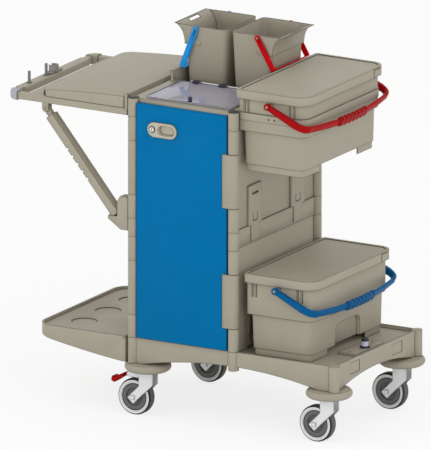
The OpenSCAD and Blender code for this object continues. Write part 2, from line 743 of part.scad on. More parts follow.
module small_bail(bail) translate([-small_gap - bail[0], 0, strap_z]) rotate([0, bail[2], 0]) difference() {
    strap_l = bail[1];
    y = small_w / 2 + 3;
    union() {
        for (s = [-1, 1]) {
            y0 = s > 0 ? y : -y - strap_t;
            box(-strap_w / 2, strap_w / 2, y0, y0 + strap_t, -strap_l + 6, 0);
            rod_y([0, 0], strap_w / 2, y0, y0 + strap_t);
            rod_x(-strap_w / 2, strap_w / 2, s * (y + strap_t - 6), -strap_l + 6, 6);
        }
        box(-strap_w / 2, strap_w / 2, -y - strap_t + 6, y + strap_t - 6, -strap_l, -strap_l + strap_t);
    }
    rod_y([0, 0], strap_pin_r + pin_fit, -small_w, small_w);
    // Clears the inside of the rounded corners
    box(-strap_w, strap_w, -y, y, -strap_l + strap_t, strap_w);
}

module at_small(red) translate([small_mid[0], small_mid[1], 0]) mirror([red ? 1 : 0, 0, 0]) children();

module small_bucket_blue() color("#A39D8B") at_small(false) small_bucket(strap_blue);

module small_bucket_red() color("#A39D8B") at_small(true) small_bucket(strap_red);

module small_bail_blue() color("#0A96E6") at_small(false) small_bail(strap_blue);

module small_bail_red() color("#D0000F") at_small(true) small_bail(strap_red);

// Ring that carries the upper bucket, screwed to the side of the top frame
module holder_ring() color("#A39D8B") difference() {
    x0 = rx + band_proud;
    x1 = upper_x + bucket_l;
    w = bucket_w / 2;
    union() {
        rbox(x0, x1, -w, w, top_z + band_h / 2 + 5, post_top, 12, big_r);
        rbox(x0, x1 - 2, -w + 2, w - 2, top_z, post_top - 1, 12, big_r - 2);
    }
    rbox(upper_x + ring_t, x1 - ring_t, -w + ring_t, w - ring_t, top_z - 1, post_top + 1, 10, big_r - ring_t);
    for (x = [-11, 11]) rod_y([upper_x + bail_x + x, post_top - 14], 2.5, -w - 1, -w + ring_t + 1);
}

// Tapered body of a large bucket in its own frame: left flange edge at 0, feet at z 0
module bucket_body(t) {
    w = bucket_w / 2 - body_in - t;
    d = draft_in;
    hull() {
        rbox(body_in + d + t, bucket_l - body_in - d - t, -w + d, w - d, foot_h + t, foot_h + t + 0.1,
             12, big_r - body_in - d, $fn = 32);
        rbox(body_in + t, bucket_l - body_in - t, -w, w, bucket_h - flange_h + t,
            bucket_h - flange_h + t + 0.1,
             12, big_r - body_in, $fn = 32);
    }
}

// The free-standing bucket has a tall collar and a recess that clears the deck lock
module large_bucket(low = false) {
    w = bucket_w / 2;
    z0 = bucket_h - (low ? collar_h : flange_h);
    z1 = bucket_h - flange_h;
    foot_in = body_in + draft_in + 4;
    back = bucket_l - body_in - draft_in;
    difference() {
        union() {
            bucket_body(0);
            rbox(3, bucket_l - 3, -w + 3, w - 3, z0, bucket_h, 10, big_r - 3);
            // Rib pairs of the band and the bail pins
            for (s = [-1, 1]) {
                for (x = [24, 38, bucket_l - big_r - 22, bucket_l - big_r - 5])
                    box(x, x + 5, s > 0 ? w - 6 : -w, s > 0 ? w : -w + 6, z1, bucket_h);
                rod_y([bail_x, bucket_h - 10], bail_pin_r, s > 0 ? w - 6 : -bail_y - 8,
                      s > 0 ? bail_y + 8 : -w + 6);
            }
            // Foot ring, cut away between the corners on the short sides
            difference() {
                rbox(foot_in, bucket_l - foot_in, -w + foot_in, w - foot_in, 0, foot_h + 1, 10,
                    big_r - foot_in);
                rbox(foot_in + 4, bucket_l - foot_in - 4, -w + foot_in + 4, w - foot_in - 4, -1, foot_h, 6,
                     big_r - foot_in - 4);
                box(-1, bucket_l + 1, -foot_y, foot_y, -1, foot_h);
            }
        }
        difference() {
            bucket_body(bucket_t);
            if (low) recess_block(back - 12 - bucket_t, bucket_t);
        }
        rbox(body_in + bucket_t, bucket_l - body_in - bucket_t, -w + body_in + bucket_t,
            w - body_in - bucket_t,
             z1, bucket_h + 1, 10, big_r - body_in - bucket_t);
        // The band is a skirt, open below
        difference() {
            rbox(6, bucket_l - 6, -w + 6, w - 6, z0 - 1, bucket_h - 4, 8, big_r - 6);
            rbox(body_in, bucket_l - body_in, -w + body_in, w - body_in, z1 - 0.1, bucket_h, 12,
                big_r - body_in);
            bucket_body(0);
        }
        if (low) recess_block(back - 12, 0);
    }
}

// Block with rounded upper corners that forms the recess, from x outwards
module recess_block(x, grow) {
    translate([x, 0, 0]) rotate([90, 0, 90]) linear_extrude(80)
        rrect(-82 - grow, 82 + grow, -60, 98 + grow, 28 + grow, 28 + grow);
}

// Lid in the same frame as its bucket, with a raised border and a pull lug at the rear
module large_lid() {
    w = bucket_w / 2 + lid_over;
    x1 = bucket_l + lid_over;
    z0 = bucket_h + rest_gap;
    seat = lid_over + 9;
    difference() {
        union() {
            rbox(-1.5, x1, -w, w, z0, z0 + lid_h, 12, lid_r);
            rbox(x1 - 14, x1 + 3, w - 88, w - 46, z0 + 2, z0 + lid_h - 4, 5, 3);
        }
        rbox(10, x1 - 11, -w + 11, w - 11, z0 + lid_h - 3, z0 + lid_h + 1, 8, lid_r - 11);
        rbox(6, x1 - seat, -w + seat, w - seat, z0 - 1, z0 + lid_h - 7, 8, lid_r - seat);
    }
}

// Section of a large bail at the radius r, made larger all round by grow
module bail_section(r, grow) {
    t = bail_t / 2 + grow;
    d = bail_d / 2 + grow;
    rrect(r - t, r + t, -d, d, 4, 4);
}

// Part of the bail's bow, over an angle each side of the middle plane
module bail_bow_part(cx, angle, grow) {
    translate([cx, 0, 0]) rotate([0, 0, -angle]) rotate_extrude(angle = 2 * angle, $fn = bow_fn)
        bail_section(bail_bow, grow);
}

// Large bail in its own frame: pivot axis along Y at the origin, crossbar towards +X with a slight bow
module large_bail() rotate([0, bail_deg, 0]) {
    yc = bail_y - bail_bend;
    cx = bail_arm - sqrt(pow(bail_bow - bail_bend, 2) - yc * yc);
    sweep = asin(yc / (bail_bow - bail_bend));
    difference() {
        union() {
            for (s = [-1, 1]) {
                plate_y(s * bail_y - bail_t / 2, s * bail_y + bail_t / 2)
                    polygon([[0, 9], [bail_arm + 3, bail_d / 2], [bail_arm + 3, -bail_d / 2], [0, -9]]);
                rod_y([0, 0], 12, s * bail_y - bail_t / 2 - 0.5, s * bail_y + bail_t / 2 + 0.5);
                translate([bail_arm, s * yc, 0]) rotate([0, 0, s > 0 ? sweep : -90])
                    rotate_extrude(angle = 90 - sweep) bail_section(bail_bend, 0.3);
            }
            bail_bow_part(cx, sweep + 0.2, 0);
            // Ridged grip
            bail_bow_part(cx, 3.6, 2.5);
            for (k = [-3:3]) rotate_about(cx, k * 1) bail_bow_part(cx, 0.2, 3.5);
        }
        rod_y([0, 0], bail_pin_r + pin_fit, -bucket_w, bucket_w);
    }
}

// Turns its children about the Z axis through x
module rotate_about(x, angle) {
    translate([x, 0, 0]) rotate([0, 0, angle]) translate([-x, 0, 0]) children();
}

module at_upper() translate([upper_x, 0, upper_z]) children();

module at_lower() translate([lower_x, 0, lower_z]) children();

module upper_bucket() color("#A39D8B") at_upper() large_bucket();

module upper_lid() color("#A39D8B") at_upper() large_lid();

module upper_bail() color("#D0000F") at_upper() translate([bail_x, 0, bucket_h - 10]) large_bail();

module lower_bucket() color("#A39D8B") at_lower() large_bucket(true);

module lower_lid() color("#A39D8B") at_lower() large_lid();

module lower_bail() color("#00609F") at_lower() translate([bail_x, 0, bucket_h - 10]) large_bail();

module lock_plate() color("#A39D8B") difference() {
    rbox(lock_x - lock_l / 2, knob_pos[0] + 22, -lock_w / 2, lock_w / 2, deck_z, deck_z + lock_t, 6, 6);
    translate([knob_pos[0], 0, deck_z - 1]) cylinder(r = 5 + pin_fit, h = lock_t + 2);
    for (y = [-75, 75]) translate([lock_x + 7, y, deck_z + lock_t - 3]) cylinder(r = 4, h = 5);
}

module lock_knob() color("#3A3A38") translate([knob_pos[0], 0, deck_z + lock_t + rest_gap]) rotate_extrude()
    polygon([[0, -lock_t - deck_t], [5, -lock_t - deck_t], [5, 0], [17, 0], [17, 4], [knob_r, 5],
        [knob_r, 22],
             [knob_r + 1.5, 23], [knob_r + 1.5, 29], [knob_r - 1, 31], [0, 31]]);

// Section of the bag frame's tube, rounded, centred on the tube
module tube_section(grow) {
    rrect(-rail_w / 2 - grow, rail_w / 2 + grow, -rail_h / 2 - grow, rail_h / 2 + grow, 4 + grow, 4 + grow);
}

module frame_corner(s, grow) {
    y = (s < 0 ? rail_yf : rail_yr) - s * corner_bend;
    translate([push_x + corner_bend, y, rail_z + rail_h / 2]) rotate([0, 0, s < 0 ? 180 : 90])
        rotate_extrude(angle = 90) translate([corner_bend, 0]) tube_section(grow);
}

module push_bar() color("#A39D8B") {
    z = rail_z + rail_h / 2;
    y0 = rail_yf + corner_bend;
    for (s = [-1, 1]) frame_corner(s, 0);
    translate([push_x, y0, z]) rotate([-90, 0, 0]) linear_extrude(-2 * y0) tube_section(0);
    translate([push_x, y0 + 30, z]) rotate([-90, 0, 0]) linear_extrude(-2 * y0 - 60)
        rrect(-push_w / 2, push_w / 2, -rail_h / 2, rail_h / 2, 5, 5);
    // Two pins for hanging tools
    for (y = [fy + 119, fy + 232]) translate([push_x, y, z]) {
        cylinder(r = tool_pin_r, h = rail_h / 2 + tool_pin_h);
        translate([0, 0, rail_h / 2]) cylinder(r = tool_pin_r + 4, h = 4);
    }
}

// One side rail with its fold cheeks, strut cheeks and, on the rear one, the lid hinge lugs
module rail(y, rear) difference() {
    x0 = push_x + corner_bend;
    union() {
        translate([x0, y, rail_z + rail_h / 2]) rotate([90, 0, 90]) linear_extrude(rail_x1 - x0)
            tube_section(0);
        for (s = [-1, 1]) {
            y0 = y + s * (tongue_w / 2 + run_gap + 3) - 3;
            box(fold[0] - fold_r, fold[0] + fold_r, y0, y0 + 6, rail_z + 4, fold[1]);
            rod_y(fold, fold_r, y0, y0 + 6);
            y1 = y + s * 9.5 - 2;
            box(strut_top[0] - 12, strut_top[0] + 12, y1, y1 + 4, strut_top[1], rail_z + 4);
            rod_y(strut_top, 12, y1, y1 + 4);
        }
        rod_y(fold, fold_pin_r, y - 9, y + 9);
        if (rear) for (x = [bag_lid_x0 + 60, bag_lid_x1 - 60]) for (s = [-1, 1]) {
            x1 = x + s * (10 + run_gap + 3) - 3;
            box(x1, x1 + 6, y, lid_axis[0], rail_z + 8, lid_axis[1] - 2);
            rod_x(x1, x1 + 6, lid_axis[0], lid_axis[1], lid_knuckle_r);
        }
    }
    rod_y(strut_top, strut_pin_r + pin_fit, y - 20, y + 20);
    if (rear) rod_x(bag_lid_x0, bag_lid_x1, lid_axis[0], lid_axis[1], 2.5 + pin_fit);
}

module bag_rails() color("#A39D8B") {
    rail(rail_yf, false);
    rail(rail_yr, true);
}

module bag_crossbar() color("#A39D8B")
    rbox(cross_x0, cross_x0 + crossbar_w, rail_yf + rail_w / 2, rail_yr - rail_w / 2, rail_z + 4,
        rail_top - 2, 3, 3);

module corner_bumpers() color("#6E6E6C") for (s = [-1, 1]) difference() {
    frame_corner(s, 4);
    frame_corner(s, seat_fit);
}

// Bowed lid over the bag mouth, hinged along its rear edge
module bag_lid_side(t) {
    x0 = bag_lid_x0 + t;
    x1 = bag_lid_x1 - t;
    z0 = rail_top + rest_gap;
    polygon(concat([[x1, z0 - (t > 0 ? 5 : 0)], [x0, z0 - (t > 0 ? 5 : 0)]],
                   [for (k = [0:8]) [x0 + k / 8 * (x1 - x0),
                                     z0 + bag_lid_lo + (bag_lid_hi - bag_lid_lo) * sin(k * 90 / 8) - t]]));
}

module bag_lid() color("#A39D8B") difference() {
    y0 = rail_yf - rail_w / 2;
    y1 = rail_yr + rail_w / 2;
    union() {
        difference() {
            intersection() {
                plate_y(y0, y1) bag_lid_side(0);
                rbox(bag_lid_x0, bag_lid_x1, y0, y1, 0, 2 * post_top, 30, 4);
            }
            plate_y(y0 + bag_lid_t, y1 - bag_lid_t) bag_lid_side(bag_lid_t);
        }
        for (x = [bag_lid_x0 + 60, bag_lid_x1 - 60]) {
            box(x - 10, x + 10, y1 - 3, lid_axis[0], rail_top + 1, lid_axis[1] + lid_knuckle_r);
            rod_x(x - 10, x + 10, lid_axis[0], lid_axis[1], lid_knuckle_r);
            rod_x(x - 16, x + 16, lid_axis[0], lid_axis[1], 2.5);
        }
    }
    // Room for the hinge lugs of the rail
    for (x = [bag_lid_x0 + 60, bag_lid_x1 - 60]) for (s = [-1, 1])
        difference() {
            x1 = x + s * (10 + run_gap + 3) - 3;
            box(x1 - run_gap, x1 + 6 + run_gap, lid_axis[0] - 9, lid_axis[0] + 9, rail_z, lid_axis[1] + 8);
            rod_x(x - 16, x + 16, lid_axis[0], lid_axis[1], 2.5);
        }
}

// Spring clip for a tool handle, standing on the push bar
module tool_clip() color("#A39D8B") difference() {
    union() {
        rbox(push_x - 13, push_x + 13, clip_y - 38, clip_y + 38, rail_top, rail_top + 6, 4, 4);
        translate([push_x, clip_y, rail_top]) cylinder(r = clip_r + 5, h = clip_h);
    }
    translate([push_x, clip_y, rail_top + 6]) cylinder(r = clip_r, h = 40);
    box(push_x - 40, push_x - 3, clip_y - clip_r * 0.8, clip_y + clip_r * 0.8, rail_top + 6, rail_top + 60);
}

// Strut in its own frame: top pin at the origin, foot towards +X
module strut(y) color("#A39D8B") translate([strut_top[0], y, strut_top[1]]) rotate([0, strut_deg, 0])
    difference() {
    h = strut_d / 2;
    w = strut_w / 2;
    union() {
        rod_y([0, 0], 12, -6.5, 6.5);
        box(0, 40, -6.5, 6.5, -11, 11);
        box(28, strut_l, -w, w, -h, h);
        rod_y([strut_l, 0], strut_end_r, -w, w);
        rod_y([0, 0], strut_pin_r, -11.5, 11.5);
    }
    // Hollow underside with a row of notches
    box(40, strut_l - 30, -w + 4, w - 4, -h - 1, h - 5);
    for (k = [0:4]) box(150 + 30 * k, 158 + 30 * k, -w - 1, w + 1, -h - 1, -h + 5);
}

// Brackets on the left posts: a tongue for each fold pin, and an open seat for each strut's foot
module frame_brackets() color("#A39D8B") for (y = [rail_yf, rail_yr]) difference() {
    e = strut_end;
    foot_r = strut_end_r + seat_gap;
    x1 = lx - post_r + 6;
    union() {
        box(fold[0], x1, y - tongue_w / 2, y + tongue_w / 2, fold[1] - 10, fold[1]);
        rod_y(fold, fold_r, y - tongue_w / 2, y + tongue_w / 2);
        plate_y(y - strut_w / 2, y + strut_w / 2)
            polygon([[x1, e[1] + 54], [e[0] + 28, e[1] + 54], [e[0] + foot_r, e[1] + 36], [e[0] + foot_r,
                e[1] - foot_r],
                     [e[0] - 18, e[1] - foot_r], [e[0] - 18, e[1] - 28], [e[0] + 30, e[1] - 61], [x1,
                         e[1] - 61]]);
    }
    rod_y(fold, fold_pin_r + pin_fit, y - 20, y + 20);
    post_holes();
}

module strut_front() strut(rail_yf);

module strut_rear() strut(rail_yr);

base();
bumper_discs();
hinge_rods();
fold_tray();
castor_fork(castors[0], true);  // castor_fork_fl
castor_fork(castors[1]);  // castor_fork_fr
castor_fork(castors[2]);  // castor_fork_rl
castor_fork(castors[3]);  // castor_fork_rr
axle(castors[0]);  // axle_fl
axle(castors[1]);  // axle_fr
axle(castors[2]);  // axle_rl
axle(castors[3]);  // axle_rr
wheel(castors[0]);  // wheel_fl
wheel(castors[1]);  // wheel_fr
wheel(castors[2]);  // wheel_rl
wheel(castors[3]);  // wheel_rr
tyre(castors[0]);  // tyre_fl
tyre(castors[1]);  // tyre_fr
tyre(castors[2]);  // tyre_rl
tyre(castors[3]);  // tyre_rr
brake_pedal();
post(posts[0]);  // post_fl
post(posts[1], true);  // post_fr
post(posts[2]);  // post_rl
post(posts[3]);  // post_rr
post_caps();
left_walls();
right_walls();
back_walls();
middle_frame();
top_frame();
wall_hook_plates();
door_panel();
door_hinges();
door_escutcheon();
lock_barrel();
clear_lid();
clear_lid_knob();
frame_brackets();
small_bucket_blue();
small_bail_blue();
small_bucket_red();
small_bail_red();
holder_ring();
upper_bucket();
upper_lid();
upper_bail();
lower_bucket();
lower_lid();
lower_bail();
lock_plate();
lock_knob();
push_bar();
bag_rails();
bag_crossbar();
corner_bumpers();
bag_lid();
tool_clip();
strut_front();
strut_rear();
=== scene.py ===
"""Janitor cart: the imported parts, dressed with their plastics, steel and rubber, on a pale studio floor."""
import json
import math

import bmesh
import bpy
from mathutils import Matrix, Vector


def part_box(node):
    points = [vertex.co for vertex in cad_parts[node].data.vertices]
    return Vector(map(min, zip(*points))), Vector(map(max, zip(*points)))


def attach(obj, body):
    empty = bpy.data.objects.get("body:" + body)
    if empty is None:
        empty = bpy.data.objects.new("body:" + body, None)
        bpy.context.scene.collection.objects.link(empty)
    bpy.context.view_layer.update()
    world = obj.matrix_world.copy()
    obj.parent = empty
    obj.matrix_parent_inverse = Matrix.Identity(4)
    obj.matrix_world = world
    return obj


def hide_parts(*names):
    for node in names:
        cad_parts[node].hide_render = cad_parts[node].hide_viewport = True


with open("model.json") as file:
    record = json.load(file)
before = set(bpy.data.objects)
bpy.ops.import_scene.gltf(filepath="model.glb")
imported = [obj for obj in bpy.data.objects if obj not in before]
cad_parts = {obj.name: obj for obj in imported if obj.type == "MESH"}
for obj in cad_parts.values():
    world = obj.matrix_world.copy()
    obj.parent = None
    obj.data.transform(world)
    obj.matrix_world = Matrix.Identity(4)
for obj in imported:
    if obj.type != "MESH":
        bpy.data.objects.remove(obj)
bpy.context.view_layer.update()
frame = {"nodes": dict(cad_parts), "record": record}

# Base moulding
# One large injection moulding in beige-grey polypropylene: a deck inside a low rim, on an arched skirt.
# The posts plug into its corner columns, and the castor stems into the bosses below.


def linear(code):
    """Linear colour of an sRGB hex code, with alpha 1."""
    parts = [int(code[k:k + 2], 16) / 255 for k in (1, 3, 5)]
    return [c / 12.92 if c <= 0.04045 else ((c + 0.055) / 1.055) ** 2.4 for c in parts] + [1.0]


def add(tree, kind, inputs=None, **settings):
    """One shader node with its settings, and its inputs linked or set."""
    node = tree.nodes.new("ShaderNode" + kind)
    for name, value in settings.items():
        setattr(node, name, value)
    for key, value in (inputs or {}).items():
        if isinstance(value, bpy.types.NodeSocket):
            tree.links.new(value, node.inputs[key])
        else:
            node.inputs[key].default_value = value
    return node


def blank(name):
    """A new material and its empty node tree."""
    material = bpy.data.materials.new(name)
    material.use_nodes = True
    material.node_tree.nodes.clear()
    return material, material.node_tree


def edge_line_and_shade(tree, line_mm, crease_mm=8, depth=0.85):
    """Share of a painted edge line and painted shade at a point: full along each edge of the moulding and
    down in each joint.
    """
    # A line painted along each edge of the moulding, where the bevelled normal turns away from the face's own
    smooth = add(tree, "Bevel", {"Radius": line_mm / 1000}, samples=8)
    here = add(tree, "NewGeometry")
    turn = add(tree, "VectorMath", {0: smooth.outputs[0], 1: here.outputs["Normal"]},
               operation="DOT_PRODUCT")
    edge = add(tree, "MapRange", {"Value": turn.outputs["Value"], 1: 0.993, 2: 0.90, 3: 0.0, 4: depth})
    # Painted shade: ambient occlusion darkens the colour down in each joint and recess, where shade falls
    near = add(tree, "AmbientOcclusion", {"Distance": crease_mm / 1000}, samples=8)
    crease_shade = add(tree, "MapRange", {"Value": near.outputs["AO"], 1: 0.72, 2: 0.25, 3: 0.0, 4: depth})
    return add(tree, "Math", {0: edge.outputs[0], 1: crease_shade.outputs[0]}, operation="MAXIMUM").outputs[0]


def moulded(name, colour, line, rough=0.5, gloss=0.2, cloud_mm=140, grain_mm=2.5, line_mm=5.2):
    """Injection-moulded thermoplastic: a faint cloudy tone, fine grain, a line painted on every edge and
    painted shade in each joint, both in the colour given as line.
    """
    material, tree = blank(name)
    place = add(tree, "TexCoord").outputs["Object"]
    cloud = add(tree, "TexNoise", {"Vector": place, "Scale": 1000 / cloud_mm, "Detail": 3.0,
                                   "Roughness": 0.6})
    grain = add(tree, "TexNoise", {"Vector": place, "Scale": 1000 / grain_mm, "Detail": 2.0,
                                   "Roughness": 0.5})
    # The cloud moves the tone by three parts in a hundred either way, as pigment and handling do
    tone = add(tree, "MapRange", {"Value": cloud.outputs["Fac"], 1: 0.3, 2: 0.7, 3: 0.97, 4: 1.03})
    body = add(tree, "VectorMath", {0: linear(colour)[:3], "Scale": tone.outputs[0]}, operation="SCALE")
    # The edge line and the painted shade in the joints both take the colour given as line
    mixed = add(tree, "Mix", {0: edge_line_and_shade(tree, line_mm), 6: body.outputs[0], 7: linear(line)},
                data_type="RGBA")
    shine = add(tree, "MapRange", {"Value": cloud.outputs["Fac"], 1: 0.3, 2: 0.7, 3: rough - 0.05,
                                   4: rough + 0.05})
    bump = add(tree, "Bump", {"Height": grain.outputs["Fac"], "Strength": 0.06, "Distance": 0.0004})
    skin = add(tree, "BsdfPrincipled", {"Base Color": mixed.outputs[2], "Roughness": shine.outputs[0],
                                        "IOR": 1.49, "Specular IOR Level": gloss, "Normal": bump.outputs[0]})
    add(tree, "OutputMaterial", {"Surface": skin.outputs[0]})
    return material


def dress(material, *nodes, radius_mm=1.2):
    """Gives CAD nodes their material and the small radius that a mould leaves on every edge."""
    for name in nodes:
        part = frame["nodes"][name]
        part.data.materials.clear()
        part.data.materials.append(material)
        part.modifiers.new("weld", "WELD").merge_threshold = 0.00002
        if radius_mm:
            soft = part.modifiers.new("mould_radius", "BEVEL")
            soft.width = radius_mm / 1000
            soft.segments = 2
            soft.limit_method = "ANGLE"
            soft.angle_limit = math.radians(32)
            soft.use_clamp_overlap = True
            soft.harden_normals = True
        for face in part.data.polygons:
            face.use_smooth = True


# Polypropylene, moulded against a spark-eroded tool: a dry, even satin with no reflections to speak of
# The second colour is that of the painted edge line and the painted shade in the joints
polypropylene = moulded("polypropylene_beige", "#A39D8D", "#403C31")
dress(polypropylene, "base")

# Castors
# Swivel forks folded from zinc-plated sheet, with a cross bolt and a ball race, and dark nylon wheels with
# grey tyres. A soft bumper disc sits over each fork; the front left one has a channel for its brake pedal.
zinc, tree = blank("zinc_plated_steel")
place = add(tree, "TexCoord").outputs["Object"]
# Zinc plate has a fine spangle, a few millimetres across, that moves its gloss and tone a little
spangle = add(tree, "TexVoronoi", {"Vector": place, "Scale": 1000 / 6})
shine = add(tree, "MapRange", {"Value": spangle.outputs["Distance"], 1: 0.0, 2: 0.7, 3: 0.42, 4: 0.55})
tone = add(tree, "MapRange", {"Value": spangle.outputs["Distance"], 1: 0.0, 2: 0.7, 3: 0.94, 4: 1.0})
body = add(tree, "VectorMath", {0: linear("#E6E6E8")[:3], "Scale": tone.outputs[0]}, operation="SCALE")
# A dark line painted on each edge, and painted shade in the joints, both in dark grey
line_and_shade = edge_line_and_shade(tree, 4.5, crease_mm=4, depth=0.85)
mixed = add(tree, "Mix", {0: line_and_shade, 6: body.outputs[0], 7: linear("#3A3B3F")}, data_type="RGBA")
skin = add(tree, "BsdfPrincipled", {"Base Color": mixed.outputs[2], "Metallic": 0.35,
                                    "Roughness": shine.outputs[0]})
add(tree, "OutputMaterial", {"Surface": skin.outputs[0]})

corners = ("fl", "fr", "rl", "rr")
dress(zinc, *["castor_fork_" + k for k in corners], *["axle_" + k for k in corners], radius_mm=0.8)


def pressed(name, outline_mm, cheeks, crown, sheet_mm, bend_mm, place, body):
    """A channel folded from sheet: points (x, z, half width) of its side, its cheeks, its crown's edge."""
    shape = bmesh.new()
    front = []
    rear = []
    for row, side in ((front, -1), (rear, 1)):
        for x, z, half in outline_mm:
            row.append(shape.verts.new(Vector(place) + Vector((x, side * half, z)) / 1000))
    for cheek in cheeks:
        shape.faces.new([front[k] for k in cheek])
        shape.faces.new([rear[k] for k in reversed(cheek)])
    shape.faces.new([front[k] for k in crown] + [rear[k] for k in reversed(crown)])
    mesh = bpy.data.meshes.new(name)
    shape.to_mesh(mesh)
    shape.free()
    mesh.materials.append(zinc)
    piece = bpy.data.objects.new(name, mesh)
    bpy.context.scene.collection.objects.link(piece)
    bend = piece.modifiers.new("press_bend", "BEVEL")
    bend.width = bend_mm / 1000
    bend.segments = 4
    bend.angle_limit = math.radians(40)
    sheet = piece.modifiers.new("sheet", "SOLIDIFY")
    sheet.thickness = sheet_mm / 1000
    sheet.offset = -1
    sheet.use_even_offset = True
    edge = piece.modifiers.new("sheared_edge", "BEVEL")
    edge.width = 0.0005
    edge.segments = 2
    edge.angle_limit = math.radians(40)
    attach(piece, body)
    return piece


# Each leg runs back to the axle at 45 degrees, 30 mm wide with a square end, and above the wheel the legs
# fold inwards. The axle trails the stem by 44 mm
trail = 0.044
fork_side = [(-22, 150.5, 25), (-22, 104, 25), (-66, 59.5, 25), (-44, 39.5, 25), (-6.5, 76.2, 25),
             (28, 110, 18), (28, 150.5, 18), (-6.5, 150.5, 25)]
fork_cheeks = [(0, 1, 2, 3, 4, 7), (7, 4, 5, 6)]
channel_side = [(-72, 146.5, 14), (-75, 130, 14), (-20, 128, 14), (-20, 146.5, 14)]
for k in corners:
    axle_low, axle_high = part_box("axle_" + k)
    stem = ((axle_low[0] + axle_high[0]) / 2 + trail, (axle_low[1] + axle_high[1]) / 2, 0)
    fork = pressed("pressed_fork_" + k, fork_side, fork_cheeks, (0, 7, 6), 4, 5, stem, "castor_" + k)
    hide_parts("castor_fork_" + k)
    if k == "fl":
        pressed("brake_channel", channel_side, [(0, 1, 2, 3)], (0, 3), 3, 3, stem, "castor_fl")


def turned(name, profile_mm, place, facing, material, body):
    """A ring turned from a closed (radius, height) profile about the axis that faces away from its seat."""
    shape = bmesh.new()
    turn = Vector((0, 0, 1)).rotation_difference(Vector(facing)).to_matrix()
    rings = []
    steps = 56
    for k in range(steps):
        angle = 2 * math.pi * k / steps
        ring = []
        for r, z in profile_mm:
            spot = Vector((r * math.cos(angle), r * math.sin(angle), z)) / 1000
            ring.append(shape.verts.new(Vector(place) + turn @ spot))
        rings.append(ring)
    for k, ring in enumerate(rings):
        after = rings[(k + 1) % len(rings)]
        for i in range(len(profile_mm)):
            j = (i + 1) % len(profile_mm)
            shape.faces.new((ring[i], after[i], after[j], ring[j])).smooth = True
    mesh = bpy.data.meshes.new(name)
    shape.to_mesh(mesh)
    shape.free()
    mesh.materials.append(material)
    piece = bpy.data.objects.new(name, mesh)
    bpy.context.scene.collection.objects.link(piece)
    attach(piece, body)
    return piece


# The race is rolled from sheet: a flange under the disc, a rounded shoulder, and a lip that grips the crown
joint_place = {j["name"]: j.get("pos_m") for j in frame["record"]["behaviour"]["joints"]}
race_profile = [(24, -10), (27, -10.4), (30.5, -8.6), (31.6, -6), (30.6, -3.6), (33.5, -2.9), (34, -1.4),
                (33, -0.5), (24, -0.5)]
disc_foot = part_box("bumper_discs")[0][2]
for k in corners:
    stem = joint_place["castor_%s_swivel" % k]
    turned("swivel_race_" + k, race_profile, (stem[0], stem[1], disc_foot), (0, 0, 1), zinc, "castor_" + k)

nylon, tree = blank("grey_nylon_wheel")
place = add(tree, "TexCoord").outputs["Generated"]
middle = add(tree, "VectorMath", {0: place, 1: (0.5, 0.5, 0.5)}, operation="SUBTRACT")
flat = add(tree, "VectorMath", {0: middle.outputs[0], 1: (1.0, 0.0, 1.0)}, operation="MULTIPLY")
reach = add(tree, "VectorMath", {0: flat.outputs[0]}, operation="LENGTH")
# The hub is dark and its outer lip pale. The lip starts at 47 mm of the 50 mm radius, behind a 4 mm groove
# whose shade is painted as a dark ring
rim = add(tree, "MapRange", {"Value": reach.outputs["Value"], 1: 0.468, 2: 0.476, 3: 0.0, 4: 1.0})
groove_shade = add(tree, "MapRange", {"Value": reach.outputs["Value"], 1: 0.426, 2: 0.436, 3: 0.0, 4: 0.9})
spot = add(tree, "TexCoord").outputs["Object"]
cloud = add(tree, "TexNoise", {"Vector": spot, "Scale": 1000 / 18, "Detail": 3.0})
tone = add(tree, "MapRange", {"Value": cloud.outputs["Fac"], 1: 0.3, 2: 0.7, 3: 0.93, 4: 1.07})
body = add(tree, "VectorMath", {0: linear("#646464")[:3], "Scale": tone.outputs[0]}, operation="SCALE")
groove_shaded = add(tree, "Mix", {0: groove_shade.outputs[0], 6: body.outputs[0], 7: linear("#2C2C2C")},
              data_type="RGBA")
mixed = add(tree, "Mix", {0: rim.outputs[0], 6: groove_shaded.outputs[2], 7: linear("#E1E1E1")}, data_type="RGBA")
# A dark line painted on each edge, and painted shade in the joints
line_and_shade = edge_line_and_shade(tree, 1.6, crease_mm=5)
lined_and_shaded = add(tree, "Mix", {0: line_and_shade, 6: mixed.outputs[2], 7: linear("#2C2C2C")}, data_type="RGBA")
skin = add(tree, "BsdfPrincipled", {"Base Color": lined_and_shaded.outputs[2], "Roughness": 0.48, "IOR": 1.53,
                                    "Specular IOR Level": 0.3})
add(tree, "OutputMaterial", {"Surface": skin.outputs[0]})
dress(nylon, *["wheel_" + k for k in corners], radius_mm=0.8)

# The tyre is non-marking rubber, moulded in two shots: pale sidewalls and a grey tread, with a dark line
# painted round the shoulder between them.
# The sidewall ends at 57 mm and the painted line at 62 mm of the 62.5 mm radius
rubber, tree = blank("two_tone_rubber")
place = add(tree, "TexCoord").outputs["Generated"]
middle = add(tree, "VectorMath", {0: place, 1: (0.5, 0.5, 0.5)}, operation="SUBTRACT")
flat = add(tree, "VectorMath", {0: middle.outputs[0], 1: (1.0, 0.0, 1.0)}, operation="MULTIPLY")
reach = add(tree, "VectorMath", {0: flat.outputs[0]}, operation="LENGTH")
wall = add(tree, "MapRange", {"Value": reach.outputs["Value"], 1: 0.454, 2: 0.460, 3: 1.0, 4: 0.0})
shoulder_line = add(tree, "MapRange", {"Value": reach.outputs["Value"], 1: 0.493, 2: 0.498, 3: 0.95, 4: 0.0})
spot = add(tree, "TexCoord").outputs["Object"]
scuff = add(tree, "TexNoise", {"Vector": spot, "Scale": 1000 / 9, "Detail": 4.0})
tone = add(tree, "MapRange", {"Value": scuff.outputs["Fac"], 1: 0.3, 2: 0.7, 3: 0.92, 4: 1.05})
